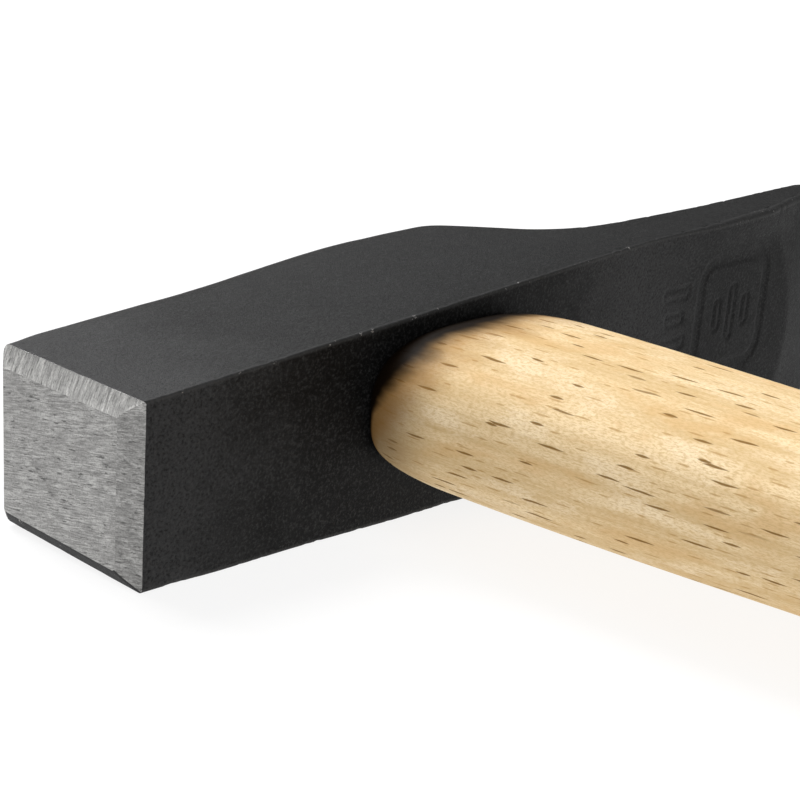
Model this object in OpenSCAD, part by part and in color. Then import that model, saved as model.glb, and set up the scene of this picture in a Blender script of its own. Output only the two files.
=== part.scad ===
// Brick hammer lying on its cheek.
// A forged steel head is held on a beech handle by a wooden wedge and two steel cross wedges.
// Millimetres. +X runs from the striking face to the cutting edge and the handle runs along -Y.
// The lower cheek lies flat on z = 0, with the origin on it below the middle of the eye.

/* [Head] */
// Length of the head from the striking face to the cutting edge
head_len = 161; // [150:1:175]
// Depth of the striking end, measured along the handle
face_depth = 26.2; // [24:0.2:28]
// Width of the striking end from cheek to cheek
face_w = 22.6; // [20:0.2:26]
// Width of the blade at its cutting edge
blade_w = 42; // [36:1:46]
// Lean of the striking face towards the handle
face_tilt = 1.6; // [0:0.1:4]
// Width of the striking face's chamfer towards the handle
chamfer_w = 3.8; // [1:0.1:5]
// Depth of the striking face's chamfer towards the handle
chamfer_d = 1; // [0.8:0.1:1.1]
// Width of the striking face's chamfer towards the upper cheek
upper_chamfer_w = 2.8; // [1:0.1:4]
// Depth of the striking face's chamfer towards the upper cheek
upper_chamfer_d = 0.7; // [0.3:0.1:0.7]
// Width of the striking face's chamfer towards the lower cheek
lower_chamfer_w = 0.8; // [0.4:0.1:1]
// Depth of the striking face's chamfer towards the lower cheek
lower_chamfer_d = 0.5; // [0.5:0.05:0.6]
// Width and depth of the striking face's chamfer away from the handle
far_chamfer = 0.4; // [0.3:0.1:0.4]
// Greatest depth of the head, over the eye
crest_depth = 30.6; // [29:0.2:33]
// Place along the head where the crest is highest
crest_x = 62; // [60:1:66]
// Place along the head where the crest ends in a shoulder
shoulder_x = 81.5; // [79:0.5:84]
// Place along the head where the shoulder's slope meets the blade
blade_root_x = 95.5; // [92:0.5:100]

/* [Blade] */
// Thickness of the blade where its outer bevel starts
blade_t = 7; // [5:0.2:8]
// Length of the bevel on the blade's outer side
outer_bevel = 7; // [4:0.5:10]
// Length of the bevel on the blade's handle side
inner_bevel = 15; // [10:0.5:18]
// Thickness left at the cutting edge
edge_t = 1.4; // [0.8:0.1:2]
// Radius of the blade's bend towards the handle
bend_r = 700; // [500:10:1200]

/* [Eye] */
// Distance from the striking face to the middle of the eye
eye_x = 54.6; // [52:0.2:57]
// Length of the eye along the head, at the handle side
eye_len = 28; // [24:0.5:29]
// Width of the eye across the head, at the handle side
eye_w = 13; // [10:0.5:13.5]
// How much wider and longer the eye is at its outer mouth
eye_flare = 3.4; // [2:0.2:4]
// Distance from the handle side at which the eye starts to flare
eye_waist = 12; // [8:1:16]

/* [Handle] */
// Length of the handle from the head to the butt
handle_len = 252; // [230:2:280]
// Width of the handle where it bears on the head
seat_w = 34.4; // [33:0.2:38]
// Thickness of the handle where it bears on the head
seat_t = 19.8; // [19.8:0.1:20.2]
// Width of the handle's swelling next to the head
swell_w = 39.2; // [38:0.2:42]
// Thickness of the handle's swelling next to the head
swell_t = 20.4; // [20.4:0.2:24]
// Width of the neck
neck_w = 31; // [28:0.5:36]
// Thickness of the neck
neck_t = 17.8; // [17:0.2:22]
// Distance from the head to the neck
neck_at = 105; // [90:5:130]
// Width of the grip
grip_w = 35; // [32:0.5:38]
// Thickness of the grip
grip_t = 26; // [22:0.5:28]
// Distance from the head to the widest part of the grip
grip_at = 205; // [180:5:215]
// Height of the handle's axis above the head's middle plane
handle_lift = 2.8; // [0:0.1:2.8]
// How far the tenon stands out of the eye
tenon_proud = 1.2; // [0:0.1:3]

/* [Wedges] */
// Length of the wooden wedge, along the head
wood_wedge_len = 25; // [18:0.5:26]
// Thickness of the wooden wedge at its outer end
wood_wedge_t = 3.6; // [2:0.1:5]
// Depth to which the wooden wedge is driven
wood_wedge_depth = 21; // [18:1:24]
// Width of a steel wedge, across the head
steel_wedge_w = 11; // [8:0.5:12]
// Thickness of a steel wedge at its outer end
steel_wedge_t = 2.4; // [1.6:0.1:3]
// Depth to which a steel wedge is driven
steel_wedge_depth = 16; // [10:1:17]
// Distance between the two steel wedges
steel_wedge_gap = 13; // [11:0.5:16]

/* [Hidden] */

FORGED_BLACK = [0.16, 0.16, 0.16];
BEECH = [0.87, 0.75, 0.55];
WEDGE_WOOD = [0.74, 0.58, 0.38];
WEDGE_STEEL = [0.62, 0.62, 0.60];

$fn = 48;
EXTRA = 1;             // how far a cut runs past what it cuts
FIT = 0.02;            // clearance between the tenon and the eye
SIDE_SLOPE = 0.035;    // slope of the outer side next to the striking face
RISE_START = 23;       // where the outer side starts to rise to the crest
CREST_R = 146;         // radius of the crest behind its highest point
SHOULDER_R = 2.5;      // rounding of the crest's shoulder
ROOT_R = 24;           // hollow between the shoulder's slope and the blade
TAIL_SLOPE = 0.075;    // slope of the blade's outer side where the bevel starts
TAIL_CURVE = 0.001;    // how fast that slope grows towards the eye
BEND_START = 96;       // where the blade starts to bend towards the handle
SWELL_AT = 9;          // distance from the head at which the swelling is widest
OVAL = 2.7;            // squareness of the handle's section, 2 being an ellipse
BUTT_ROUND = 7;        // length over which the butt is rounded off
BUTT_KEEP = 0.78;      // size of the butt's flat end as a part of the full section
SECTION_SIDES = 36;    // points round one section of the handle
SECTION_STEP = 9;      // distance between sections along the handle
WEDGE_TIP = 0.6;       // thickness of a wedge at its inner end
TENON_ROOT = 3;        // how far the tenon's solid runs into the handle's body

flare = (blade_w - face_w) / 2 / (head_len - chamfer_d);
eye_half_w = face_w / 2 + flare * (eye_x - chamfer_d);
eye_centre_gap = eye_len - eye_w;
outer_bevel_x = head_len - outer_bevel;
inner_bevel_x = head_len - inner_bevel;
blade_top = bend_at(outer_bevel_x) + blade_t;
tenon_top = crest_depth + tenon_proud;

// Smooth step from a at place p to b at place q.
function ease(a, b, p, q, at) =
    let (u = max(0, min(1, (at - p) / (q - p))))
    a + (b - a) * u * u * (3 - 2 * u);

// Rise of a quarter circle of radius 1 at distance u from its start.
function quarter(u) = sqrt(1 - pow(1 - min(1, u), 2));

// Depth of the outer side from the striking end to the shoulder.
function crest_at(x) =
    x < crest_x
    ? ease(face_depth + SIDE_SLOPE * min(x, RISE_START), crest_depth, RISE_START, crest_x, x)
    : crest_depth - pow(x - crest_x, 2) / 2 / CREST_R;

// Depth of the outer side of the blade.
function tail_at(x) =
    let (back = outer_bevel_x - x)
    blade_top + TAIL_SLOPE * back + TAIL_CURVE * pow(back, 2);

// How far the blade's handle side has bent away from the straight.
function bend_at(x) =
    x < BEND_START ? 0 : sqrt(pow(bend_r, 2) - pow(x - BEND_START, 2)) - bend_r;

// A vector turned part of the way from p to q, which are equally long.
function swing(p, q, part) =
    let (whole = acos(p * q / norm(p) / norm(q)))
    (p * sin(whole * (1 - part)) + q * sin(whole * part)) / sin(whole);

// Points of the arc of radius r that rounds the corner b of the path a, b, c.
function rounded(a, b, c, r, steps) =
    let (
        u = (a - b) / norm(a - b),
        v = (c - b) / norm(c - b),
        half = acos(u * v) / 2,
        centre = b + (u + v) / norm(u + v) * r / sin(half),
        first = b + u * r / tan(half) - centre,
        last = b + v * r / tan(half) - centre
    )
    [for (i = [0 : steps]) centre + swing(first, last, i / steps)];

// Places the head's own frame so that the lower cheek lies flat on z = 0. In that frame x = 0 is
// the striking face, y = 0 the handle side and z = 0 the middle plane between the cheeks.
module lay() {
    rotate([0, -atan(flare), 0])
        translate([-eye_x, -face_depth / 2, eye_half_w])
            children();
}

// Makes a solid as wide as the blade, with its outline in x and y.
module across_head() {
    translate([0, 0, -blade_w / 2 - EXTRA])
        linear_extrude(blade_w + 2 * EXTRA)
            children();
}

// Makes a solid that runs through the head along y, with its outline in x and z.
module through_head() {
    translate([0, 2 * face_depth, 0])
        rotate([90, 0, 0])
            linear_extrude(3 * face_depth)
                children();
}

module side_outline() {
    along_face = [sin(face_tilt), cos(face_tilt)];
    into_head = [cos(face_tilt), -sin(face_tilt)];
    shoulder = [shoulder_x, crest_at(shoulder_x)];
    root = [blade_root_x, tail_at(blade_root_x)];
    root_end = blade_root_x + 10;
    edge_y = bend_at(inner_bevel_x) + edge_t;
    polygon([
        [chamfer_d, 0],
        along_face * chamfer_w,
        along_face * (face_depth - far_chamfer),
        along_face * face_depth + into_head * far_chamfer,
        for (x = [RISE_START : 3 : shoulder_x - 3]) [x, crest_at(x)],
        each rounded([shoulder_x - 3, crest_at(shoulder_x - 3)], shoulder, root, SHOULDER_R, 5),
        each rounded(shoulder, root, [root_end, tail_at(root_end)], ROOT_R, 9),
        for (x = [root_end : 8 : outer_bevel_x - 4]) [x, tail_at(x)],
        [outer_bevel_x, blade_top],
        [head_len, edge_y + edge_t],
        [head_len, edge_y],
        for (x = [inner_bevel_x : -8 : BEND_START]) [x, bend_at(x)],
        [BEND_START, 0]
    ]);
}

// The head seen along the handle. It widens evenly from the striking face to the cutting edge.
module plan_outline() {
    front = face_w / 2 - flare * chamfer_d;
    polygon([[0, -front], [head_len, -blade_w / 2], [head_len, blade_w / 2], [0, front]]);
}

// The chamfers between the striking face and the cheeks, on a block that is wider than the blade.
module cheek_chamfer_outline() {
    upper = face_w / 2 - upper_chamfer_w;
    lower = face_w / 2 - lower_chamfer_w;
    polygon([
        [0, -lower],
        [(blade_w - lower) * lower_chamfer_d / lower_chamfer_w, -blade_w],
        [2 * head_len, -blade_w],
        [2 * head_len, blade_w],
        [(blade_w - upper) * upper_chamfer_d / upper_chamfer_w, blade_w],
        [0, upper]
    ]);
}

// The eye from one distance from the handle side to another, with an allowance off each wall.
module eye_solid(from, to, allowance) {
    straight = eye_w / 2 - allowance;
    wide = straight + (to - eye_waist) * eye_flare / 2 / (crest_depth - eye_waist);
    translate([eye_x, 0, 0]) {
        for (end = [-1, 1])
            translate([end * eye_centre_gap / 2, from, 0])
                rotate([-90, 0, 0]) {
                    cylinder(h = eye_waist - from, r = straight);
                    translate([0, 0, eye_waist - from])
                        cylinder(h = to - eye_waist, r1 = straight, r2 = wide);
                }
        translate([-eye_centre_gap / 2, 0, 0])
            rotate([0, 90, 0])
                linear_extrude(eye_centre_gap)
                    polygon([
                        [-straight, from],
                        [straight, from],
                        [straight, eye_waist],
                        [wide, to],
                        [-wide, to],
                        [-straight, eye_waist]
                    ]);
    }
}

module wedge_outline(thick, depth) {
    polygon([
        [-thick / 2, tenon_top],
        [thick / 2, tenon_top],
        [WEDGE_TIP / 2, tenon_top - depth],
        [-WEDGE_TIP / 2, tenon_top - depth]
    ]);
}

module wooden_wedge_solid() {
    translate([eye_x - wood_wedge_len / 2, 0, 0])
        rotate([0, 90, 0])
            linear_extrude(wood_wedge_len)
                wedge_outline(wood_wedge_t, wood_wedge_depth);
}

module steel_wedge_solid(side) {
    translate([eye_x + side * steel_wedge_gap / 2, 0, -steel_wedge_w / 2])
        linear_extrude(steel_wedge_w)
            wedge_outline(steel_wedge_t, steel_wedge_depth);
}

// Size of the handle's section at a distance from the head, as width and thickness.
function section_at(t) =
    let (
        swell = [swell_w, swell_t],
        neck = [neck_w, neck_t],
        grip = [grip_w, grip_t],
        seat = [seat_w, seat_t],
        into_butt = max(0, t - (handle_len - BUTT_ROUND)) / BUTT_ROUND,
        butt = BUTT_KEEP + (1 - BUTT_KEEP) * quarter(1 - into_butt)
    )
    t < SWELL_AT
    ? seat + (swell - seat) * quarter(t / SWELL_AT)
    : t < neck_at
    ? ease(swell, neck, SWELL_AT, neck_at, t)
    : ease(neck, grip, neck_at, grip_at, t) * butt;

function blunt(v) = sign(v) * pow(abs(v), 2 / OVAL);

// The handle's body, swept through its sections from the head to the butt.
module handle_body() {
    near_head = [for (i = [0 : 5]) SWELL_AT * (1 - cos(15 * i))];
    along = [for (t = [SWELL_AT : SECTION_STEP : handle_len - BUTT_ROUND - 3]) t];
    near_butt = [for (i = [0 : 5]) handle_len - BUTT_ROUND * (1 - sin(18 * i))];
    stations = concat(near_head, along, near_butt);
    last = (len(stations) - 1) * SECTION_SIDES;
    points = [
        for (t = stations, k = [0 : SECTION_SIDES - 1])
            let (size = section_at(t), turn = 360 * k / SECTION_SIDES)
            [size[0] / 2 * blunt(cos(turn)), -t, size[1] / 2 * blunt(sin(turn))]
    ];
    sides = [
        for (i = [0 : len(stations) - 2], k = [0 : SECTION_SIDES - 1])
            let (row = i * SECTION_SIDES, next = (k + 1) % SECTION_SIDES)
            each [
                [row + k, row + SECTION_SIDES + next, row + next],
                [row + k, row + SECTION_SIDES + k, row + SECTION_SIDES + next]
            ]
    ];
    head_end = [for (k = [0 : SECTION_SIDES - 1]) k];
    butt_end = [for (k = [SECTION_SIDES - 1 : -1 : 0]) last + k];
    translate([eye_x, 0, handle_lift])
        polyhedron(points, concat([head_end], sides, [butt_end]));
}

module head() {
    color(FORGED_BLACK)
        lay()
            difference() {
                intersection() {
                    across_head() side_outline();
                    through_head() plan_outline();
                    rotate([0, 0, -face_tilt]) through_head() cheek_chamfer_outline();
                }
                eye_solid(-EXTRA, tenon_top + EXTRA, 0);
            }
}

module handle() {
    color(BEECH)
        lay()
            difference() {
                union() {
                    handle_body();
                    eye_solid(-TENON_ROOT, tenon_top, FIT);
                }
                wooden_wedge_solid();
                for (side = [-1, 1]) steel_wedge_solid(side);
            }
}

module wooden_wedge() {
    color(WEDGE_WOOD)
        lay()
            difference() {
                wooden_wedge_solid();
                for (side = [-1, 1]) steel_wedge_solid(side);
            }
}

module steel_wedge(side) {
    color(WEDGE_STEEL)
        lay()
            steel_wedge_solid(side);
}

head();
handle();
wooden_wedge();
steel_wedge(-1);  // steel_wedge_1
steel_wedge(1);  // steel_wedge_2
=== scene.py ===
"""Looks for a brick hammer that lies on its cheek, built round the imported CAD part.

The head's and the handle's shapes are worked out in millimetres in the head's own frame: x runs
from the striking face to the cutting edge, y away from the handle and z from cheek to cheek.
LAY turns that frame into the part's own one, in metres.
"""

from math import atan, atan2, cos, pi, radians, sin, sqrt, tan

import bmesh
import bpy
from mathutils import Matrix, Vector, noise


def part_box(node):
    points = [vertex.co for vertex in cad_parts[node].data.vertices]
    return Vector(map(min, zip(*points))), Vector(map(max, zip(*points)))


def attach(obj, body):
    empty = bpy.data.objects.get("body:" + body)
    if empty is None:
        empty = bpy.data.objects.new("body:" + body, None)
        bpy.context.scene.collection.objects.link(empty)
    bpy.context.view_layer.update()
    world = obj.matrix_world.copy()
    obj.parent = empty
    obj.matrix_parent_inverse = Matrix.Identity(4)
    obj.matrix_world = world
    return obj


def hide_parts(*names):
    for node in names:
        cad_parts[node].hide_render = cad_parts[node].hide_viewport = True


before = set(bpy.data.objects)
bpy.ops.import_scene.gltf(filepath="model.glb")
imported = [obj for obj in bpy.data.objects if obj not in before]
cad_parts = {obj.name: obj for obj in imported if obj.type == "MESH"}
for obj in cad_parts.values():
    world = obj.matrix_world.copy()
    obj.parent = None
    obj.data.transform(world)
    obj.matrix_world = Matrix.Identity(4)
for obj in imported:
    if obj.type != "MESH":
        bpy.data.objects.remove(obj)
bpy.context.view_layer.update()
handle_low, handle_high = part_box("handle")

MM = 0.001

# Head. Each chamfer of the striking face is a width across the face and a depth along x.
FACE_DEPTH = 26.2
FACE_W = 22.6
BLADE_W = 42.0
HEAD_LEN = 161.0
FACE_TILT = radians(1.6)
NEAR_CHAMFER = (3.8, 1.0)
UPPER_CHAMFER = (2.8, 0.7)
LOWER_CHAMFER = (1.55, 0.85)
FAR_CHAMFER = (0.7, 0.6)
CREST_DEPTH = 30.6
CREST_X = 62.0
CREST_R = 146.0  # radius of the crest behind its highest point
SIDE_SLOPE = 0.035  # slope of the outer side next to the striking face
RISE_START = 23.0  # where the outer side starts to rise to the crest
SHOULDER_X = 81.5
SHOULDER_R = 7.0
ROOT_X = 95.5
ROOT_R = 24.0  # hollow between the shoulder's slope and the blade
BLADE_T = 7.0
OUTER_BEVEL = 7.0
INNER_BEVEL = 15.0
EDGE_T = 1.4
BEND_R = 700.0  # radius of the blade's bend towards the handle
BEND_START = 96.0
TAIL_SLOPE = 0.075  # slope of the blade's outer side where the bevel starts
TAIL_CURVE = 0.001  # how fast that slope grows towards the eye

# Eye
EYE_X = 54.6
EYE_LEN = 28.0
EYE_W = 13.0
EYE_FLARE = 3.4
EYE_WAIST = 12.0  # distance from the handle side at which the eye starts to flare
EYE_FIT = 0.03  # clearance between the tenon and the eye

# Handle
HANDLE_LIFT = 2.9  # height of the handle's axis above the head's middle plane
HANDLE_LEN = -handle_low.y / MM - FACE_DEPTH / 2
TENON_TOP = handle_high.y / MM + FACE_DEPTH / 2
# Width and thickness of the handle where it bears on the head, at its swelling, neck and grip
SEAT = (34.0, 16.8)
SWELL = (39.2, 20.5)
NECK = (31.0, 17.8)
GRIP = (35.0, 26.0)
SWELL_AT = 11.4
NECK_AT = 105.0
GRIP_AT = 205.0
OVAL = 2.8  # squareness of the handle's section, 2 being an ellipse
TAPER = 0.4  # how steeply the handle tapers just behind its swelling
BUTT_ROUND = 7.0
BUTT_KEEP = 0.78  # size of the butt's flat end as a part of the full section
GIRTH = pi * (SWELL[0] + SWELL[1]) / 2

# Wedges, each as its length, its thickness at the top and its depth
WOOD_WEDGE = (25.0, 3.6, 21.0)
STEEL_WEDGE = (11.0, 2.4, 16.0)
STEEL_WEDGE_GAP = 13.0
WEDGE_TIP = 0.6

FLARE = (BLADE_W - FACE_W) / 2 / (HEAD_LEN - NEAR_CHAMFER[1])
OUTER_BEVEL_X = HEAD_LEN - OUTER_BEVEL
INNER_BEVEL_X = HEAD_LEN - INNER_BEVEL


def half_width(x):
    """Half of the head's width from cheek to cheek."""
    return FACE_W / 2 + FLARE * (x - NEAR_CHAMFER[1])


LAY = (
    Matrix.Scale(MM, 4)
    @ Matrix.Rotation(-atan(FLARE), 4, "Y")
    @ Matrix.Translation((-EYE_X, -FACE_DEPTH / 2, half_width(EYE_X)))
)


# ---------------------------------------------------------------- shapes


def ease(a, b, p, q, at):
    """Smooth step from a at place p to b at place q."""
    u = max(0.0, min(1.0, (at - p) / (q - p)))
    return a + (b - a) * u * u * (3 - 2 * u)


def quarter(u):
    """Rise of a quarter circle of radius 1 at distance u from its start."""
    return sqrt(1 - (1 - min(1.0, u)) ** 2)


def bend_at(x):
    """How far the blade's handle side has bent away from the straight."""
    return 0.0 if x < BEND_START else sqrt(BEND_R**2 - (x - BEND_START) ** 2) - BEND_R


EDGE_Y = bend_at(INNER_BEVEL_X) + EDGE_T
BLADE_TOP = bend_at(OUTER_BEVEL_X) + BLADE_T


def crest_at(x):
    """Depth of the outer side from the striking end to the shoulder."""
    if x < CREST_X:
        start = FACE_DEPTH + SIDE_SLOPE * min(x, RISE_START)
        return ease(start, CREST_DEPTH, RISE_START, CREST_X, x)
    return CREST_DEPTH - (x - CREST_X) ** 2 / 2 / CREST_R


def tail_at(x):
    """Depth of the outer side of the blade."""
    back = OUTER_BEVEL_X - x
    return BLADE_TOP + TAIL_SLOPE * back + TAIL_CURVE * back**2


def rounded(a, b, c, r, steps):
    """Points of the arc of radius r that rounds the corner b of the path a, b, c."""
    a, b, c = Vector(a), Vector(b), Vector(c)
    u, v = (a - b).normalized(), (c - b).normalized()
    half = u.angle(v) / 2
    centre = b + (u + v).normalized() * r / sin(half)
    first = b + u * r / tan(half) - centre
    last = b + v * r / tan(half) - centre
    return [centre + r * first.slerp(last, i / steps) for i in range(steps + 1)]


def far_outline():
    """The outer side from the shoulder to the cutting edge, as points in x and y."""
    shoulder = (SHOULDER_X, crest_at(SHOULDER_X))
    root = (ROOT_X, tail_at(ROOT_X))
    before = (SHOULDER_X - 3, crest_at(SHOULDER_X - 3))
    after = (ROOT_X + 10, tail_at(ROOT_X + 10))
    path = rounded(before, shoulder, root, SHOULDER_R, 12)
    path += rounded(shoulder, root, after, ROOT_R, 20)
    x = path[-1].x
    while x + 2 < OUTER_BEVEL_X - 2:
        x += 2
        path.append(Vector((x, tail_at(x))))
    bevel_start = (OUTER_BEVEL_X, BLADE_TOP)
    edge = (HEAD_LEN, EDGE_Y + EDGE_T)
    path += rounded(path[-1], bevel_start, edge, 1.2, 6)
    path.append(Vector(edge))
    return path


FAR_PATH = far_outline()


def far_at(x):
    """Depth of the outer side anywhere along the head."""
    if x <= FAR_PATH[0].x:
        return crest_at(x)
    for a, b in zip(FAR_PATH, FAR_PATH[1:]):
        if x <= b.x:
            return a.y + (b.y - a.y) * (x - a.x) / max(b.x - a.x, 1e-9)
    return FAR_PATH[-1].y


BEVEL_START = INNER_BEVEL_X + 0.7  # where the handle side's bevel starts, nearest to the edge
BEVEL_MIDDLE_Z = -5.0  # the height at which it starts there
BEVEL_CURVE = 0.022  # how fast its start curves away from the edge above and below that
BEVEL_SOFT = 0.04  # how far its soft start lags behind a flat bevel, as a part of its depth
BEVEL_SOFT_LEN = 1 / 12  # length of the soft start, as a part of the bevel's length


def bevel_lift(x, z):
    """How far the bevel on the handle side stands back. Its start curves across the blade."""
    start = BEVEL_START - BEVEL_CURVE * (z - BEVEL_MIDDLE_Z) ** 2
    u = max(0.0, (x - start) / (HEAD_LEN - start))
    lag = BEVEL_SOFT * (1 - (1 - min(1.0, u / BEVEL_SOFT_LEN)) ** 2) * (1 - u)
    return (EDGE_Y - bend_at(HEAD_LEN)) * (u - lag)


LIP = 1.5  # how far the lip stands out
LIP_WIDTH = 9.0  # how far it reaches down from the blade's upper edge
LIP_RISE = (99, 122)
LIP_FALL = (130, 152)


def lip_at(x, z):
    """How far forging has spread the blade's upper edge towards the handle."""
    along = ease(0, 1, *LIP_RISE, x) - ease(0, 1, *LIP_FALL, x)
    return LIP * along * ease(0, 1, half_width(x) - LIP_WIDTH, half_width(x), z) ** 1.5


# ---------------------------------------------------------------- maker's mark


MARK_X = 127.5
MARK_Z = 2.0
MARK_HALF = (10.0, 9.5)  # half of the frame's length and width
MARK_ROUND = 4.0  # rounding of the frame's corners
MARK_LINE = 0.75  # half of the width of the frame's line
BAR_LINE = 0.1  # half of the width of the line round a bar
BARS = ((-4.4, 2.6), (0, 4.6), (4.4, 2.6))  # place and half length of each bar in the frame
SHORT_BARS = 4
SHORT_BAR_X = -17.5
SHORT_BAR_Z = 5.4
SHORT_BAR_GAP = 4.2
MARK_DEEP = 0.17
MARK_SLOPE = 0.5  # width of a groove's wall
MARK_STRETCH = (98, 141)  # the stretch of the blade that has rings close together for the mark


def box_distance(x, z, half_x, half_z, corner):
    """Distance from a rounded rectangle round the origin, negative inside."""
    dx, dz = abs(x) - half_x + corner, abs(z) - half_z + corner
    return Vector((max(dx, 0.0), max(dz, 0.0))).length + min(max(dx, dz), 0.0) - corner


def groove(distance, half_width_mm):
    """Part of the full depth at a distance from a groove's middle line."""
    return 1 - ease(0, 1, half_width_mm, half_width_mm + MARK_SLOPE, abs(distance))


def mark_depth(x, z):
    """Depth of the struck mark: a rounded frame with three bars in it, and a row of short bars."""
    x, z = x - MARK_X, z - MARK_Z
    if abs(x + 8) > 22 or abs(z) > 13:
        return 0.0
    deep = groove(box_distance(x, z, *MARK_HALF, MARK_ROUND), MARK_LINE)
    for offset, half_length in BARS:
        deep = max(deep, groove(box_distance(x - offset, z, 0.9, half_length, 0.8), BAR_LINE))
    for i in range(SHORT_BARS):
        down = z - SHORT_BAR_Z + SHORT_BAR_GAP * i
        bar = box_distance(x - SHORT_BAR_X, down, 3.6 - 1.1 * (i % 2), 0.85, 0.7)
        deep = max(deep, groove(bar, BAR_LINE))
    return MARK_DEEP * deep


# ---------------------------------------------------------------- meshes


MARGIN = 0.012


def spread(count, low=0.0, high=1.0):
    """Even fractions of a side from low to high, with one more close to each end of the side."""
    step = (high - low) / (count + 1)
    inner = [low + step * (i + 1) for i in range(count)]
    return [MARGIN] + inner + [1 - MARGIN]


MARK_BAND = (0.24, 0.92)  # the part of the handle side's width that needs points close together
ARC = 5  # steps round one corner of a section
SIDES = (
    [MARGIN, 0.06, 0.12, 0.18] + spread(66, *MARK_BAND)[1:],
    spread(14),
    spread(14),
    spread(14),
)


def section(low, high, halves, radii):
    """Points round one section, from its lower corner at the handle side upwards and round."""
    down, up = halves
    corners = (
        (low, -down, 1, 1, 270),
        (low, up, 1, -1, 180),
        (high, up, -1, -1, 90),
        (high, -down, -1, 1, 0),
    )
    arcs = []
    for (y, z, side_y, side_z, start), r in zip(corners, radii):
        turns = [radians(start - 90 * i / ARC) for i in range(ARC + 1)]
        arcs.append([Vector((y + r * (side_y + cos(t)), z + r * (side_z + sin(t)))) for t in turns])
    points = []
    for arc, following, fractions in zip(arcs, arcs[1:] + arcs[:1], SIDES):
        points += arc
        points += [arc[-1].lerp(following[0], f) for f in fractions]
    return points


def side_parts():
    """For each point of a section, its parts of the near, upper, far and lower sides."""
    rows = []
    for i, fractions in enumerate(SIDES):
        for k in range(ARC + 1):
            parts = [0.0] * 4
            parts[i - 1], parts[i] = 1 - k / ARC, k / ARC
            rows.append(parts)
        parts = [0.0] * 4
        parts[i] = 1.0
        rows += [parts] * len(fractions)
    return rows


SIDE_PARTS = side_parts()
NEAR, UPPER, FAR, LOWER = range(4)
CORNER_FLAGS = [flag for s in SIDES for flag in [1.0] * (ARC + 1) + [0.0] * len(s)]


def loft(rings, start_point=None):
    """A closed bmesh through rings of equally many points."""
    mesh = bmesh.new()
    rows = [[mesh.verts.new(p) for p in ring] for ring in rings]
    count = len(rows[0])
    for a, b in zip(rows, rows[1:]):
        for k in range(count):
            n = (k + 1) % count
            mesh.faces.new((a[k], a[n], b[n], b[k]))
    if start_point is None:
        mesh.faces.new(rows[0][::-1])
    else:
        middle = mesh.verts.new(start_point)
        for k in range(count):
            mesh.faces.new((rows[0][(k + 1) % count], rows[0][k], middle))
    mesh.faces.new(rows[-1])
    bmesh.ops.recalc_face_normals(mesh, faces=mesh.faces)
    return mesh


def to_object(name, mesh, materials=()):
    """Makes a Blender object of a bmesh, in the part's frame, smooth except at sharp edges."""
    mesh.transform(LAY)
    data = bpy.data.meshes.new(name)
    for material in materials:
        data.materials.append(material)
    mesh.to_mesh(data)
    mesh.free()
    data.shade_smooth()
    data.set_sharp_from_angle(angle=radians(35))
    piece = bpy.data.objects.new(name, data)
    bpy.context.scene.collection.objects.link(piece)
    return piece


def cut(piece, *tools, operation="DIFFERENCE"):
    """Applies booleans to a piece and removes the tools."""
    for tool in tools:
        modifier = piece.modifiers.new("cut", "BOOLEAN")
        modifier.operation = operation
        modifier.solver = "EXACT"
        modifier.object = tool
    bpy.context.view_layer.update()
    graph = bpy.context.evaluated_depsgraph_get()
    result = bpy.data.meshes.new_from_object(piece.evaluated_get(graph))
    piece.modifiers.clear()
    piece.data = result
    for tool in tools:
        bpy.data.objects.remove(tool)


# ---------------------------------------------------------------- head


PAINT_ROUND = 0.12  # rounding between the sides and the face's chamfers
FACE_ROUND = 1.3  # rounding between the chamfers and the face, where a chamfer is wide enough
CHAMFER_STEPS = 4  # steps round each of the two


def chamfer_profile(width, depth):
    """Inset and place along x of the rings over one chamfer, from the side to the face."""
    slant = Vector((width, -depth)).normalized()
    outer, inner = Vector((0, depth)), Vector((width, 0))
    ease_in = min(FACE_ROUND, 0.4 * width)
    stops = []
    for corner, before, after in (
        (outer, outer + Vector((0, PAINT_ROUND)), outer + slant * PAINT_ROUND),
        (inner, inner - slant * ease_in, inner + Vector((ease_in, 0))),
    ):
        for i in range(CHAMFER_STEPS + 1):
            u = i / CHAMFER_STEPS
            stops.append(before * (1 - u) ** 2 + corner * 2 * u * (1 - u) + after * u * u)
    return stops


def face_lean(x, y):
    """How far a point near the striking face is moved along x by the face's lean."""
    return y * tan(FACE_TILT) * (1 - ease(0, 1, 2, 22, x))


SOFT_STRETCH = (98, 132)  # where the blade's two near edges grow rounder


def corner_radii(x):
    """Rounding of the four edges along the head at x: lower near, upper near, upper far, lower far."""
    near = 0.3 + ease(0, 0.6, *SOFT_STRETCH, x)
    near_low = 0.35 + ease(0, 1.6, *SOFT_STRETCH, x)
    far = 1.15 - ease(0, 0.75, 0.5, 5.5, x)
    most = 0.42 * min(far_at(x) - bend_at(x), 2 * half_width(x))
    return [min(r, most) for r in (near_low, near, far, far)]


FACE_KEEP = (0.12, 0.4, 0.7)  # sizes of the rings on the face, as parts of its outline
RAGGED = 0.07  # how far the paint's edge round the chamfers strays
RAGGED_SIZE = 1.1
FIRST_STATION = 1.6  # place from which the rings behind the chamfers are stepped off
SHOULDER_STRETCH = (76, 98)  # the stretch that has rings close together for the shoulder


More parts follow.
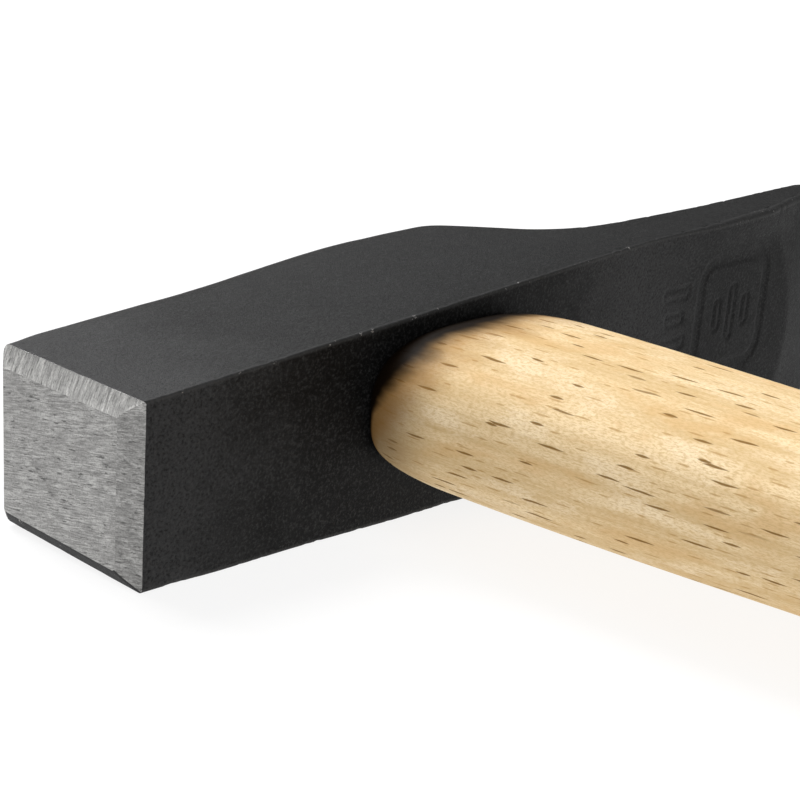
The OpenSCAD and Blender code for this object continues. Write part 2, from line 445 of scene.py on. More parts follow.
def head_rings():
    """Rings of points from the middle of the striking face to the cutting edge."""
    near, upper, lower, far = (
        chamfer_profile(*c) for c in (NEAR_CHAMFER, UPPER_CHAMFER, LOWER_CHAMFER, FAR_CHAMFER)
    )
    x_end = NEAR_CHAMFER[1] + PAINT_ROUND
    high = far_at(x_end)
    half = half_width(x_end)
    rings = []
    for i in range(len(near) - 1, -1, -1):
        keep = 1 - near[i].x / near[-1].x
        radii = [max(0.3, r * keep + 0.6 * (1 - keep)) for r in corner_radii(x_end)]
        radii[1] = 0.3
        outline = section(near[i].x, high - far[i].x, (half - lower[i].x, half - upper[i].x), radii)
        depths = (near[i].y, upper[i].y, far[i].y, lower[i].y)
        ring = []
        for p, parts in zip(outline, SIDE_PARTS):
            x = sum(part * depth for part, depth in zip(parts, depths))
            x += RAGGED * keep**2 * noise.noise((p.x / RAGGED_SIZE, p.y / RAGGED_SIZE, 3.0))
            ring.append(Vector((x + face_lean(x, p.x), p.x, p.y)))
        rings.append(ring)
    middle = sum(rings[0], Vector()) / len(rings[0])
    inner = [[middle + (p - middle) * keep for p in rings[0]] for keep in FACE_KEEP]
    rings = inner + rings
    for x in head_stations():
        outline = section(bend_at(x), far_at(x), (half_width(x),) * 2, corner_radii(x))
        ring = []
        for p in outline:
            thickness = far_at(x) - bend_at(x)
            lift = (bevel_lift(x, p.y) - lip_at(x, p.y)) * (far_at(x) - p.x) / thickness
            ring.append(Vector((x + face_lean(x, p.x), p.x + lift, p.y)))
        rings.append(ring)
    return rings


def head_stations():
    """Places along the head of the rings behind the face: closest over the shoulder and the mark."""
    stations, x = [], FIRST_STATION
    while x < HEAD_LEN:
        step = 0.7
        if x < 4 or SHOULDER_STRETCH[0] < x < SHOULDER_STRETCH[1]:
            step = 0.5
        elif MARK_STRETCH[0] <= x < MARK_STRETCH[1]:
            step = 0.36
        x = min(x + step, HEAD_LEN)
        stations.append(x)
    return stations


EYE_SIDES = 96
EYE_SLOPE = EYE_FLARE / 2 / (CREST_DEPTH - EYE_WAIST)
MOUTH = 0.7  # width and depth of the bevel at the eye's outer mouth
CUT_PAST = 4.0  # how far the eye's cut runs past the head
SINK = 0.15  # how far the tenon's solid runs into the handle's body


def eye_end(turn):
    """Middle of the round end of the eye that a turn is on."""
    return EYE_X + (EYE_LEN - EYE_W) / 2 * (1 if cos(turn) >= 0 else -1)


def eye_point(turn, y, wide):
    """A point of the eye's outline at y, where its round ends have a radius of wide."""
    return Vector((eye_end(turn) + wide * cos(turn), y, wide * sin(turn)))


def eye_ring(y, wide):
    """The eye's outline at y, where its round ends have a radius of wide."""
    return [eye_point(2 * pi * k / EYE_SIDES, y, wide) for k in range(EYE_SIDES)]


def crest_ring(above, wider):
    """The eye's outline at a height above the crest, which it follows, made wider all round."""
    ring = []
    for k in range(EYE_SIDES):
        turn = 2 * pi * k / EYE_SIDES
        y = crest_at(eye_end(turn) + EYE_W / 2 * cos(turn)) + above
        ring.append(eye_point(turn, y, EYE_W / 2 + (y - EYE_WAIST) * EYE_SLOPE + wider))
    return ring


def eye_cut():
    """The eye as a solid that runs through the head and opens in a small bevel at its outer mouth."""
    rings = [eye_ring(-CUT_PAST, EYE_W / 2), eye_ring(EYE_WAIST, EYE_W / 2)]
    rings += [crest_ring(-MOUTH, 0.0), crest_ring(0.0, MOUTH), crest_ring(CUT_PAST, MOUTH + CUT_PAST)]
    return loft(rings)


def tenon_solid():
    """The tenon from just inside the handle's end to its sawn top, with its clearance in the eye."""
    r = EYE_W / 2 - EYE_FIT
    top = r + (TENON_TOP - EYE_WAIST) * EYE_SLOPE
    return loft([eye_ring(-SINK, r), eye_ring(EYE_WAIST, r), eye_ring(TENON_TOP, top)])


FORGED = ((0.10, 17.0), (0.035, 5.0))  # height and size of each kind of unevenness
NICK = 0.25  # depth of a nick for each unit by which the noise passes NICK_RARITY
NICK_RARITY = 0.15
NICK_SIZE = 1.5


def weather(mesh, edge):
    """Moves the points of the head a little along their normals, and nicks its two near edges."""
    mesh.normal_update()
    for v in mesh.verts:
        fade = ease(0, 1, FIRST_STATION, 4.0, v.co.x)
        if fade:
            move = sum(a * noise.noise(v.co / size) for a, size in FORGED)
            if v[edge] > 0.5 and v.co.y < FACE_DEPTH / 2:
                move -= NICK * max(0.0, noise.noise(v.co / NICK_SIZE) - NICK_RARITY)
            v.co += v.normal * move * fade


FACE_ROWS = 5  # rows of quads on the striking face, counted from its middle
GROUND_ROWS = 10  # rows of bare steel, which reach half way round the chamfers' outer edges


def make_head(*materials):
    """The head. Its materials are in turn the paint and the steel of the face and far chamfer,
    of the near chamfer and of the upper chamfer. The lower chamfer is painted.
    """
    rings = head_rings()
    mesh = loft(rings, sum(rings[0], Vector()) / len(rings[0]))
    count = len(rings[0])
    edge = mesh.verts.layers.float.new("edge")
    mesh.verts.ensure_lookup_table()
    for i, v in enumerate(mesh.verts[: count * len(rings)]):
        ring, k = divmod(i, count)
        if ring >= len(FACE_KEEP):
            v[edge] = CORNER_FLAGS[k]
        # The paint is rubbed where the lower chamfer meets the face.
        if FACE_ROWS <= ring <= FACE_ROWS + 2 and SIDE_PARTS[k][LOWER] > 0.5:
            v[edge] = 1.0
    weather(mesh, edge)
    for v in mesh.verts:
        if MARK_STRETCH[0] < v.co.x < MARK_STRETCH[1] and v.co.y < 1.5 and v.normal.y < -0.7:
            v.co.y += mark_depth(v.co.x, v.co.z)
    for i, f in enumerate(mesh.faces):
        row, parts = i // count, SIDE_PARTS[i % count]
        if row < FACE_ROWS or len(f.verts) == 3:
            f.material_index = 1
        elif row < GROUND_ROWS and parts[LOWER] < 0.5:
            f.material_index = 1 if parts[FAR] > 0.5 else 3 if parts[UPPER] > 0.5 else 2
    piece = to_object("head_forging", mesh, materials)
    cut(piece, to_object("eye_cut", eye_cut()))
    return piece


# ---------------------------------------------------------------- handle


def section_at(t):
    """Width and thickness of the handle at a distance from the head."""
    if t < SWELL_AT:
        part = quarter(t / SWELL_AT)
        return [a + (b - a) * part for a, b in zip(SEAT, SWELL)]
    if t < NECK_AT:
        u = (t - SWELL_AT) / (NECK_AT - SWELL_AT)
        part = u * u * (3 - 2 * u) + TAPER * u * (1 - u) ** 2
        return [a + (b - a) * part for a, b in zip(SWELL, NECK)]
    into = max(0.0, t - (HANDLE_LEN - BUTT_ROUND)) / BUTT_ROUND
    butt = BUTT_KEEP + (1 - BUTT_KEEP) * quarter(1 - into)
    return [ease(a, b, NECK_AT, GRIP_AT, t) * butt for a, b in zip(NECK, GRIP)]


AROUND = 128  # points round one section of the handle
SEAT_STEPS = 14
BODY_STEPS = 100
BUTT_STEPS = 12
CARVED = 0.18  # how far the handle's surface strays from its smooth shape
SLOT_FIT = 0.06  # clearance round the wedges in the tenon


def blunt(v):
    """A sine or cosine changed so that the section is squarer than an ellipse."""
    return (1 if v > 0 else -1) * abs(v) ** (2 / OVAL)


def handle_stations():
    """Distances from the head of the handle's sections, close together where it rounds off."""
    start = [SWELL_AT * (1 - cos(pi / 2 * i / SEAT_STEPS)) for i in range(SEAT_STEPS + 1)]
    body = HANDLE_LEN - BUTT_ROUND - SWELL_AT
    middle = [SWELL_AT + body * (i + 1) / BODY_STEPS for i in range(BODY_STEPS)]
    end = [
        HANDLE_LEN - BUTT_ROUND * (1 - sin(pi / 2 * (i + 1) / BUTT_STEPS)) for i in range(BUTT_STEPS)
    ]
    return start + middle + end


def handle_ring(t):
    """Points round the handle's section, from its underside."""
    wide, thick = section_at(t)
    ring = []
    for k in range(AROUND):
        turn = 2 * pi * k / AROUND - pi / 2
        x = EYE_X + wide / 2 * blunt(cos(turn))
        z = HANDLE_LIFT + thick / 2 * blunt(sin(turn))
        ring.append(Vector((x, -t, z)))
    return ring


def add_grain(piece):
    """Stores, in units of 10 mm, the place round the handle and along it, for the wood's figure."""
    data = piece.data
    layer = data.uv_layers.new(name="grain")
    back = LAY.inverted()
    for face in data.polygons:
        centre = back @ face.center
        turn_of_face = around(centre)
        for corner in face.loop_indices:
            p = back @ data.vertices[data.loops[corner].vertex_index].co
            turn = around(p)
            if turn - turn_of_face > 0.5:
                turn -= 1
            elif turn_of_face - turn > 0.5:
                turn += 1
            layer.data[corner].uv = (turn * GIRTH / 10, p.y / 10)


def around(p):
    """Part of a turn round the handle's axis, from its underside."""
    wide, thick = SWELL
    return (atan2((p.z - HANDLE_LIFT) / thick, (p.x - EYE_X) / wide) / (2 * pi) + 0.25) % 1.0


def make_handle(*materials):
    """The handle with its tenon, slotted for the wedges. Its second material is end grain."""
    rings = [handle_ring(t) for t in handle_stations()]
    mesh = loft(rings)
    mesh.normal_update()
    for v in mesh.verts:
        fade = ease(0, 1, 1, 14, -v.co.y)
        v.co += v.normal * fade * CARVED * noise.noise((v.co.x / 22, v.co.y / 40, v.co.z / 22))
    body = to_object("handle_beech", mesh, materials)
    cut(body, to_object("tenon", tenon_solid()), operation="UNION")
    cut(body, *(to_object("slot", tool) for tool in wedge_meshes(SLOT_FIT)))
    body.data.shade_smooth()
    body.data.set_sharp_from_angle(angle=radians(40))
    for face in body.data.polygons:
        if abs(face.normal.y) > 0.97:
            face.material_index = 1
    add_grain(body)
    return body


# ---------------------------------------------------------------- wedges


WEDGE_EDGE = 0.18  # size of the mushroomed edge round a wedge's struck end
STEEL_PROUD = 0.25  # how far the steel wedges stand out of the wood
SLOT_PAST = 2.0  # how far a wedge's slot is cut past its end
WOODEN_FIT = 0.05  # clearance round the steel wedges in the wooden one
CORNERS = ((-1, -1), (1, -1), (1, 1), (-1, 1))
SQUARE = [
    (a[0] + (b[0] - a[0]) * f, a[1] + (b[1] - a[1]) * f)
    for a, b in zip(CORNERS, CORNERS[1:] + CORNERS[:1])
    for f in (0.0, 0.25, 0.5, 0.75)
]


def wedge_mesh(centre_x, length, thick, depth, across, allowance, proud):
    """A wedge driven along -y, or the slot for one if it has an allowance.

    Across tells whether its length lies across the head.
    """
    edge = 0.0 if allowance else WEDGE_EDGE
    top = TENON_TOP + proud
    stops = (
        (TENON_TOP - depth, WEDGE_TIP / 2, length / 2 - 0.3),
        (top - 1.1, thick / 2, length / 2),
        (top - edge, thick / 2 + edge * 0.6, length / 2 + edge * 0.4),
        (top, thick / 2 - edge, length / 2 - edge * 1.4),
    )
    rings = []
    for y, half_thick, half_len in stops:
        ring = []
        for a, b in SQUARE:
            a, b = a * (half_len + allowance), b * (half_thick + allowance)
            ring.append(Vector((centre_x + (b if across else a), y, a if across else b)))
        rings.append(ring)
    if allowance:
        rings.append([p + Vector((0, SLOT_PAST, 0)) for p in rings[-1]])
    return loft(rings)


def wedge_meshes(allowance):
    """The wooden wedge and the two steel ones, or their slots."""
    meshes = [wedge_mesh(EYE_X, *WOOD_WEDGE, False, allowance, 0.0)]
    for side in (-1, 1):
        centre = EYE_X + side * STEEL_WEDGE_GAP / 2
        meshes.append(wedge_mesh(centre, *STEEL_WEDGE, True, allowance, STEEL_PROUD))
    return meshes


def make_wedges(wood_material, steel_material):
    """The wooden wedge, slotted for the steel ones, and the two steel ones."""
    wood, *steel = wedge_meshes(0.0)
    wooden = to_object("wedge_of_wood", wood, [wood_material])
    slots = wedge_meshes(WOODEN_FIT)
    slots[0].free()
    cut(wooden, *(to_object("slot", tool) for tool in slots[1:]))
    steels = [
        to_object(f"wedge_of_steel_{i + 1}", mesh, [steel_material]) for i, mesh in enumerate(steel)
    ]
    return wooden, steels


# ---------------------------------------------------------------- materials


class Graph:
    """Short calls for building one material's nodes."""

    def __init__(self, name):
        self.material = bpy.data.materials.new(name)
        self.material.use_nodes = True
        self.tree = self.material.node_tree
        self.shader = self.tree.nodes["Principled BSDF"]

    def add(self, kind, inputs, **settings):
        node = self.tree.nodes.new("ShaderNode" + kind)
        for key, value in settings.items():
            setattr(node, key, value)
        for key, value in inputs.items():
            self.put(node.inputs[key], value)
        return node

    def put(self, socket, value):
        if isinstance(value, bpy.types.NodeSocket):
            self.tree.links.new(value, socket)
        else:
            socket.default_value = value

    def shade(self, **inputs):
        for key, value in inputs.items():
            self.put(self.shader.inputs[key.replace("_", " ")], value)

    def place(self, scale, turn=(0.0, 0.0, 0.0)):
        """The surface's own place in millimetres, turned and then scaled."""
        where = self.tree.nodes.new("ShaderNodeTexCoord").outputs["Object"]
        scaled = self.add("VectorMath", {0: where, 1: (1000.0,) * 3}, operation="MULTIPLY")
        turned = self.add("Mapping", {"Vector": scaled.outputs[0], "Rotation": turn})
        sized = self.add("VectorMath", {0: turned.outputs[0], 1: scale}, operation="MULTIPLY")
        return sized.outputs[0]

    def noise(self, place, scale=1.0, detail=3.0, rough=0.5, distort=0.0):
        inputs = {"Vector": place, "Scale": scale, "Detail": detail, "Roughness": rough}
        inputs["Distortion"] = distort
        return self.add("TexNoise", inputs).outputs["Fac"]

    def span(self, value, low, high, to_low=0.0, to_high=1.0):
        """Maps a range of a value smoothly onto another."""
        inputs = {"Value": value, 1: low, 2: high, 3: to_low, 4: to_high}
        return self.add("MapRange", inputs, interpolation_type="SMOOTHSTEP").outputs[0]

    def math(self, operation, a, b=0.0):
        return self.add("Math", {0: a, 1: b}, operation=operation).outputs[0]

    def mix(self, part, a, b):
        node = self.add("Mix", {}, data_type="RGBA")
        for socket, value in zip((node.inputs[0], node.inputs[6], node.inputs[7]), (part, a, b)):
            self.put(socket, value)
        return node.outputs[2]

    def bump(self, height, distance, strength=1.0, below=None):
        inputs = {"Height": height, "Distance": distance * MM, "Strength": strength}
        if below is not None:
            inputs["Normal"] = below
        return self.add("Bump", inputs).outputs["Normal"]


def colour(r, g, b):
    return (r, g, b, 1.0)


def painted_steel():
    """Thin black paint on forged steel: fine grain, ends made lighter as worn paint and as painted
    light, a painted light patch on the blade's handle side, and bare specks on the edges.
    """
    g = Graph("painted_forged_steel")
    place = g.place((1, 1, 1))
    fine = g.noise(place, 2.5, 3.0, 0.75)
    clouds = g.noise(place, 0.08, 4.0, 0.5, 0.3)
    dust = g.noise(place, 1.3, 4.0, 0.7)
    black, worn_black, grey = (colour(v, v, v) for v in (0.0020, 0.0045, 0.016))
    worn_and_lit_black = colour(0.034, 0.034, 0.035)
    pale_grain = colour(0.050, 0.050, 0.050)
    base = g.mix(g.span(clouds, 0.35, 0.7), black, worn_black)
    base = g.mix(g.span(dust, 0.5, 0.8, 0.0, 0.5), base, grey)
    along = g.add("SeparateXYZ", {0: place}).outputs[0]
    wander = g.math("MULTIPLY", g.noise(place, 0.11, 3.0, 0.6), 26.0)
    strayed = g.math("ADD", along, wander)
    # Partly worn paint, partly painted light: lighter towards the striking end, standing in for the
    # cheek's brighter light there.
    worn_and_lit_end = g.span(strayed, -40.0, -14.0, 0.7, 0.0)
    base = g.mix(worn_and_lit_end, base, worn_and_lit_black)
    # Painted light: the faces towards the handle are lighter at the blade's root, standing in for the
    # light on that side.
    facing = g.tree.nodes.new("ShaderNodeTexCoord").outputs["Normal"]
    towards_handle = g.span(g.add("SeparateXYZ", {0: facing}).outputs[1], -0.9, -0.5, 1.0, 0.0)
    blade_root = g.math("MULTIPLY", g.span(strayed, 32.0, 48.0), g.span(strayed, 56.0, 80.0, 0.6, 0.1))
    painted_light_side = g.math("MULTIPLY", blade_root, towards_handle)
    base = g.mix(painted_light_side, base, worn_and_lit_black)
    base = g.mix(g.span(fine, 0.48, 0.68, 0.0, 0.45), base, pale_grain)
    base = g.mix(g.span(fine, 0.34, 0.48, 0.8, 0.0), base, black)
    edge = g.add("Attribute", {}, attribute_name="edge").outputs["Fac"]
    base = g.mix(g.math("MULTIPLY", edge, 0.5), base, pale_grain)
    chips = g.span(g.noise(place, 0.9, 5.0, 0.75), 0.62, 0.66)
    worn = g.math("MULTIPLY", g.span(edge, 0.55, 0.95), chips)
    base = g.mix(worn, base, colour(0.32, 0.31, 0.30))
    rough = g.span(g.noise(place, 0.8, 3.0, 0.6), 0.3, 0.7, 0.52, 0.57)
    normal = g.bump(fine, 0.09, 1.0)
    g.shade(Base_Color=base, Roughness=rough, Normal=normal, Metallic=g.math("MULTIPLY", worn, 0.8))
    g.shader.inputs["Specular IOR Level"].default_value = 0.085
    return g.material


def ground_steel(name, turn, tone, fine=1.0):
    """Bare steel from a coarse wheel, with its lines along y before the turn."""
    g = Graph(name)
    lines = g.noise(g.place((2.0, 0.26, 3.6), turn), 1.6 * fine, 5.0, 0.72)
    scratches = g.noise(g.place((2.2, 0.16, 6.0), turn), 1.0, 4.0, 0.8)
    patches = g.noise(g.place((1, 0.55, 1), turn), 0.55, 5.0, 0.65, 0.4)
    grit = g.noise(g.place((1, 0.7, 1), turn), 5.5, 2.0, 0.6)
    specks = g.noise(g.place((1, 0.32, 2.0), turn), 1.6, 3.0, 0.6)
    dull, clean, grey, bright, pitted = (
        colour(tone * v, tone * v * 0.99, tone * v * 0.965) for v in (0.50, 1.55, 0.62, 1.9, 0.24)
    )
    base = g.mix(g.span(lines, 0.32, 0.68), dull, clean)
    base = g.mix(g.span(patches, 0.36, 0.64, 0.0, 0.5), base, grey)
    base = g.mix(g.span(scratches, 0.56, 0.72, 0.0, 0.55), base, bright)
    base = g.mix(g.span(grit, 0.45, 0.75, 0.0, 0.5), base, pitted)
    base = g.mix(g.span(specks, 0.60, 0.67, 0.0, 0.85), base, pitted)
    rough = g.span(scratches, 0.3, 0.7, 0.36, 0.52)
    normal = g.bump(lines, 0.06, 0.7)
    normal = g.bump(scratches, 0.03, 0.6, normal)
    g.shade(Base_Color=base, Roughness=rough, Normal=normal)
    g.shader.inputs["Metallic"].default_value = 1.0
    return g.material


def flecks(g, place, length, thick, rarity):
    """Short dark rays: 1 inside a lens round the middle of each cell of a stretched pattern."""
    cells = g.add("TexVoronoi", {"Vector": place, "Scale": 1.0}, voronoi_dimensions="2D")
    away = g.add("VectorMath", {0: place, 1: cells.outputs["Position"]}, operation="SUBTRACT")
    parts = g.add("SeparateXYZ", {0: away.outputs[0]})
    chance = g.add("SeparateColor", {0: cells.outputs["Color"]})
    size = g.span(chance.outputs[1], 0.0, 1.0, 0.55, 1.25)
    along = g.math("DIVIDE", g.math("ABSOLUTE", parts.outputs[1]), g.math("MULTIPLY", size, length))
    across = g.math("DIVIDE", g.math("ABSOLUTE", parts.outputs[0]), thick)
    lens = g.math("ADD", g.math("POWER", along, 2.0), across)
    inside = g.span(lens, 0.45, 1.1, 1.0, 0.0)
    shown = g.span(chance.outputs[0], rarity, rarity + 0.12)
    return g.math("MULTIPLY", inside, shown)


def grain_place(g, scale):
    """Place on the handle's skin, round it and along it, in millimetres, scaled."""
    where = g.add("UVMap", {}, uv_map="grain").outputs[0]
    wide = (10 * scale[0], 10 * scale[1], 1.0)
    return g.add("VectorMath", {0: where, 1: wide}, operation="MULTIPLY").outputs[0]


SHADOW_TURN = 0.52  # part of a turn from the handle's underside to the middle of the painted shadow
BLACK_REACH = (2.5, 15.5)  # reach of the painted black shadow along the handle, least and greatest, before it is made ragged
# reach of the painted brown shade round the black shadow, least and greatest
BROWN_REACH = (2.5, 13.0)
SIDE_SHADE_REACH = (3.0, 14.0)  # where the painted shade on the handle's sides starts to fade and where it ends


def head_shade_paint(g):
    """Painted shade on the wood next to the head: the head's shadow in black with brown shade round
    it, widest above, and darker sides.
    """
    skin = g.add("SeparateXYZ", {0: grain_place(g, (1.0, 1.0))}).outputs
    turn = g.math("MULTIPLY", skin[0], 2 * pi / GIRTH)
    above = g.math("COSINE", g.math("SUBTRACT", turn, SHADOW_TURN * 2 * pi))
    sides = g.math("COSINE", g.math("MULTIPLY", turn, 2.0))
    from_head = g.math("ABSOLUTE", skin[1])
    ragged = g.span(g.noise(grain_place(g, (0.22, 0.08)), 1.0, 3.0, 0.6), 0.3, 0.7, 0.34, 0.46)
    parts = []
    for reach, start, near, far in ((BLACK_REACH, 0.0, 0.55, 1.5), (BROWN_REACH, -0.4, 0.9, 2.9)):
        wide = g.math("MULTIPLY", g.span(above, start, 0.9, *reach), ragged)
        parts.append(g.span(g.math("DIVIDE", from_head, wide), near, far, 1.0, 0.0))
    side_shade = g.span(from_head, *SIDE_SHADE_REACH, 1.0, 0.0)
    return (*parts, g.math("MULTIPLY", side_shade, g.span(sides, 0.3, -0.9)))


def beech():
    """Oiled beech: pale streaks along the handle, fine pores and short dark rays."""
    g = Graph("beech_side_grain")
    streaks = g.noise(grain_place(g, (0.34, 0.014)), 1.0, 5.0, 0.7, 0.3)
    pores = g.noise(grain_place(g, (4.5, 0.45)), 1.0, 3.0, 0.6)
    mottle = g.noise(grain_place(g, (4.2, 1.5)), 1.0, 3.0, 0.7)
    patches = g.noise(grain_place(g, (0.16, 0.06)), 1.0, 4.0, 0.65, 0.4)
    base = g.mix(g.span(streaks, 0.3, 0.7), colour(0.63, 0.452, 0.235), colour(0.86, 0.675, 0.420))
    base = g.mix(g.span(patches, 0.34, 0.50, 0.6, 0.0), base, colour(0.66, 0.430, 0.200))
    base = g.mix(g.span(patches, 0.50, 0.66, 0.0, 0.6), base, colour(0.93, 0.770, 0.540))
    base = g.mix(g.span(mottle, 0.42, 0.64, 0.0, 0.6), base, colour(0.57, 0.375, 0.160))
    base = g.mix(g.span(pores, 0.55, 0.75, 0.0, 0.35), base, colour(0.46, 0.30, 0.15))
    wander = g.noise(grain_place(g, (0.5, 0.25)), 1.0, 1.0, 0.5)
    sway = g.add("CombineXYZ", {0: g.math("MULTIPLY", wander, 0.25), 1: 0.0, 2: 0.0}).outputs[0]
    swayed = g.add("VectorMath", {0: grain_place(g, (0.46, 0.15)), 1: sway}, operation="ADD")
    dark = flecks(g, swayed.outputs[0], 0.28, 0.108, 0.45)
    small = flecks(g, grain_place(g, (0.7, 0.24)), 0.28, 0.12, 0.5)
    base = g.mix(g.math("MULTIPLY", small, 0.6), base, colour(0.42, 0.23, 0.065))
    base = g.mix(g.math("MULTIPLY", dark, 0.9), base, colour(0.20, 0.10, 0.020))
    # Painted shade where the head shades the wood: its shadow in black, brown shade round that, and
    # darker sides.
    black, brown, side_shade = head_shade_paint(g)
    base = g.mix(g.math("MULTIPLY", side_shade, 0.8), base, colour(0.24, 0.155, 0.075))
    base = g.mix(g.math("MULTIPLY", brown, 0.75), base, colour(0.27, 0.135, 0.036))
    base = g.mix(black, base, colour(0.007, 0.004, 0.002))
    height = g.math("SUBTRACT", g.math("MULTIPLY", pores, 0.5), dark)
    normal = g.bump(height, 0.06, 0.5)
    rough = g.span(streaks, 0.3, 0.7, 0.62, 0.54)
    g.shade(Base_Color=base, Roughness=rough, Normal=normal)
    g.shader.inputs["Specular IOR Level"].default_value = 0.03
    return g.material


def end_grain(name, light, dark):
    """Sawn wood across the grain: growth bands, rays between them and saw lines."""
    g = Graph(name)
    place = g.place((1, 0.2, 1))
    warp = g.noise(g.place((0.12, 0.02, 0.12)), 1.0, 2.0, 0.5)
    bands = g.add(
        "TexWave",
        {"Vector": place, "Scale": 0.16, "Distortion": 1.6, "Detail": 3.0, "Detail Scale": 0.6},
        wave_type="RINGS",
        rings_direction="Y",
    ).outputs["Fac"]
    rays = g.noise(g.place((3.0, 0.3, 0.35)), 1.0, 3.0, 0.7)
    saw = g.noise(g.place((0.3, 1.0, 5.0), (0.0, 0.5, 0.0)), 1.0, 2.0, 0.6)
    base = g.mix(g.span(bands, 0.2, 0.9, 0.0, 0.6), light, dark)
    base = g.mix(g.span(rays, 0.56, 0.72, 0.0, 0.5), base, dark)
    base = g.mix(g.span(warp, 0.3, 0.7, 0.0, 0.3), base, dark)
    normal = g.bump(g.math("ADD", saw, g.math("MULTIPLY", rays, 0.5)), 0.08, 0.6)
    g.shade(Base_Color=base, Normal=normal)
    g.shader.inputs["Roughness"].default_value = 0.62
    return g.material


def wedge_steel():
    """Sheared mild steel, dulled and marked by hammer blows."""
    g = Graph("wedge_mild_steel")
    dents = g.noise(g.place((1, 0.4, 1)), 0.8, 4.0, 0.6)
    lines = g.noise(g.place((4, 0.4, 1)), 1.2, 4.0, 0.7)
    rust = g.noise(g.place((1, 1, 1)), 0.35, 4.0, 0.65)
    base = g.mix(g.span(lines, 0.3, 0.7), colour(0.30, 0.29, 0.28), colour(0.50, 0.49, 0.48))
    base = g.mix(g.span(rust, 0.55, 0.75, 0.0, 0.5), base, colour(0.20, 0.13, 0.09))
    rough = g.span(dents, 0.3, 0.7, 0.34, 0.55)
    g.shade(Base_Color=base, Roughness=rough, Normal=g.bump(dents, 0.12, 0.6))
    g.shader.inputs["Metallic"].default_value = 1.0
    return g.material


# ---------------------------------------------------------------- stage, light and camera


FLOOR_REACH = 10.0  # metres from the tool to the floor's edge
FLOOR_FLAT = 2.5  # metres from the tool to where the floor starts to rise
FLOOR_RISE = 0.015  # its rise beyond that, for each square metre of the distance squared
FLOOR_CELLS = 60


def make_floor():
    """A pale light table that the head's lower edge and the grip's underside rest on.

    Far from the tool it rises gently, so that the view doesn't end at a horizon.
    """
    touch_y = -FACE_DEPTH / 2 * MM
    slope = handle_low.z / ((HANDLE_LEN - BUTT_ROUND) * MM)
    mesh = bmesh.new()
    bmesh.ops.create_grid(
        mesh, x_segments=FLOOR_CELLS, y_segments=FLOOR_CELLS, size=FLOOR_REACH
    )
    for v in mesh.verts:
        beyond = max(0.0, v.co.xy.length - FLOOR_FLAT)
        v.co.z = slope * (touch_y - v.co.y) + FLOOR_RISE * beyond**2
    data = bpy.data.meshes.new("floor")
    mesh.to_mesh(data)
    mesh.free()
    data.shade_smooth()
    floor = bpy.data.objects.new("floor", data)
    bpy.context.scene.collection.objects.link(floor)
    g = Graph("pale_floor")
    g.shader.inputs["Base Color"].default_value = colour(0.18, 0.18, 0.18)
    g.shader.inputs["Roughness"].default_value = 0.9
    g.shader.inputs["Specular IOR Level"].default_value = 0.1
    g.shader.inputs["Emission Color"].default_value = colour(1.0, 1.0, 1.0)
    g.shader.inputs["Emission Strength"].default_value = 0.85
    data.materials.append(g.material)


def make_sun(name, direction, width, strength):
    """A soft light from a direction, the same all over the floor."""
    data = bpy.data.lights.new(name, "SUN")
    data.angle = radians(width)
    data.energy = strength
    light = bpy.data.objects.new(name, data)
    light.rotation_euler = Vector(direction).to_track_quat("Z", "Y").to_euler()
    bpy.context.scene.collection.objects.link(light)


def make_world(strength):
    """Even white light from all sides."""
    world = bpy.data.worlds.new("studio")
    world.use_nodes = True
    background = world.node_tree.nodes["Background"]
    background.inputs["Color"].default_value = colour(1.0, 1.0, 1.0)
    background.inputs["Strength"].default_value = strength
    bpy.context.scene.world = world


VIEW_AZIMUTH = radians(-50.94)
VIEW_ELEVATION = radians(15.67)
VIEW_ROLL = radians(6.885)
VIEW_DISTANCE = 0.2
VIEW_TARGET = Vector((-0.00716, -0.00865, 0.01486))
LENS_MM = 67.5
SENSOR_MM = 36.0


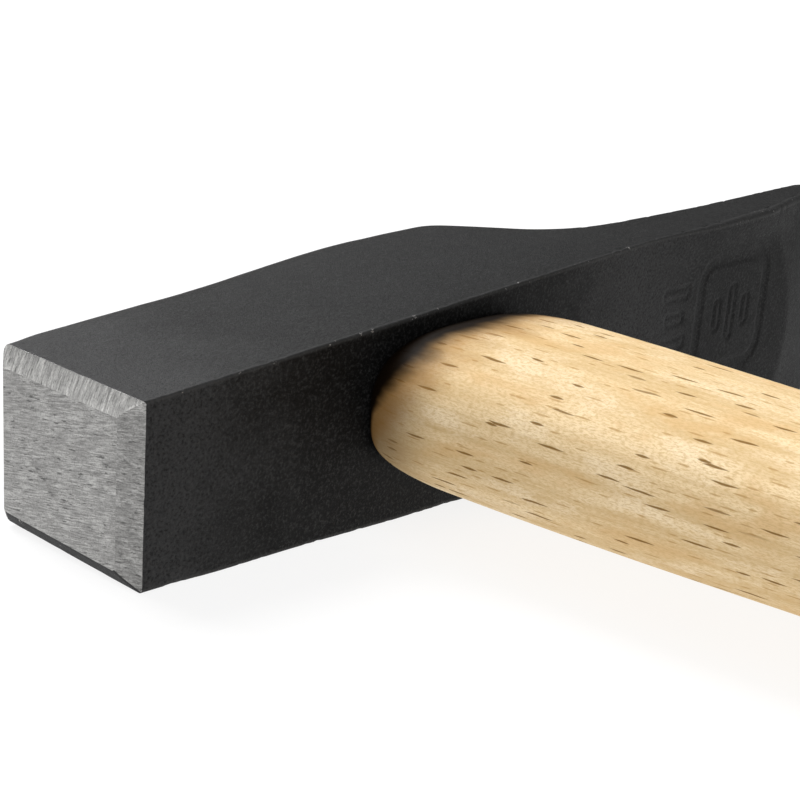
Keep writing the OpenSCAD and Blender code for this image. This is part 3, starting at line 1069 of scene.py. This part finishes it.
def make_camera():
    """A camera that looks down at the striking face and along the handle side."""
    data = bpy.data.cameras.new("camera")
    data.lens = LENS_MM
    data.sensor_width = SENSOR_MM
    data.clip_start = 0.01
    data.clip_end = 50.0
    level = cos(VIEW_ELEVATION)
    forward = Vector(
        (-sin(VIEW_AZIMUTH) * level, cos(VIEW_AZIMUTH) * level, -sin(VIEW_ELEVATION))
    )
    right = Vector((cos(VIEW_AZIMUTH), sin(VIEW_AZIMUTH), 0.0))
    up = right.cross(forward)
    right, up = (
        right * cos(VIEW_ROLL) + up * sin(VIEW_ROLL),
        up * cos(VIEW_ROLL) - right * sin(VIEW_ROLL),
    )
    turn = Matrix((right, up, -forward)).transposed().to_4x4()
    camera = bpy.data.objects.new("camera", data)
    camera.matrix_world = Matrix.Translation(VIEW_TARGET - forward * VIEW_DISTANCE) @ turn
    bpy.context.scene.collection.objects.link(camera)
    bpy.context.scene.camera = camera


def declare(piece, node):
    """Hangs a piece on the root body's empty and hides the CAD node that it stands for."""
    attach(piece, "root")
    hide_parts(node)


def main():
    bpy.context.scene.view_settings.view_transform = "Standard"
    make_camera()
    make_floor()
    make_world(0.25)
    make_sun("key", (0.15, 0.70, 0.85), 40.0, 3.85)
    make_sun("fill", (-0.5, -0.5, 0.7), 60.0, 0.9)

    # Copies of one ground steel whose tones are painted shade and light: darker on the near chamfer,
    # which faces away from the light, and lighter on the upper chamfer, which faces it.
    grounds = (
        ground_steel("ground_face_steel", (radians(12), 0.0, 0.0), 0.36),
        ground_steel("ground_bevel_steel_shaded", (radians(8), 0.0, 0.0), 0.31),
        ground_steel("ground_cheek_steel_lit", (radians(78), 0.0, 0.0), 0.52, 0.55),
    )
    declare(make_head(painted_steel(), *grounds), "head")
    ends = end_grain("beech_end_grain", colour(0.62, 0.44, 0.25), colour(0.40, 0.25, 0.12))
    declare(make_handle(beech(), ends), "handle")
    wedge = end_grain("wedge_end_grain", colour(0.50, 0.33, 0.17), colour(0.28, 0.16, 0.07))
    wooden, steels = make_wedges(wedge, wedge_steel())
    declare(wooden, "wooden_wedge")
    for i, piece in enumerate(steels):
        declare(piece, f"steel_wedge_{i + 1}")


main()
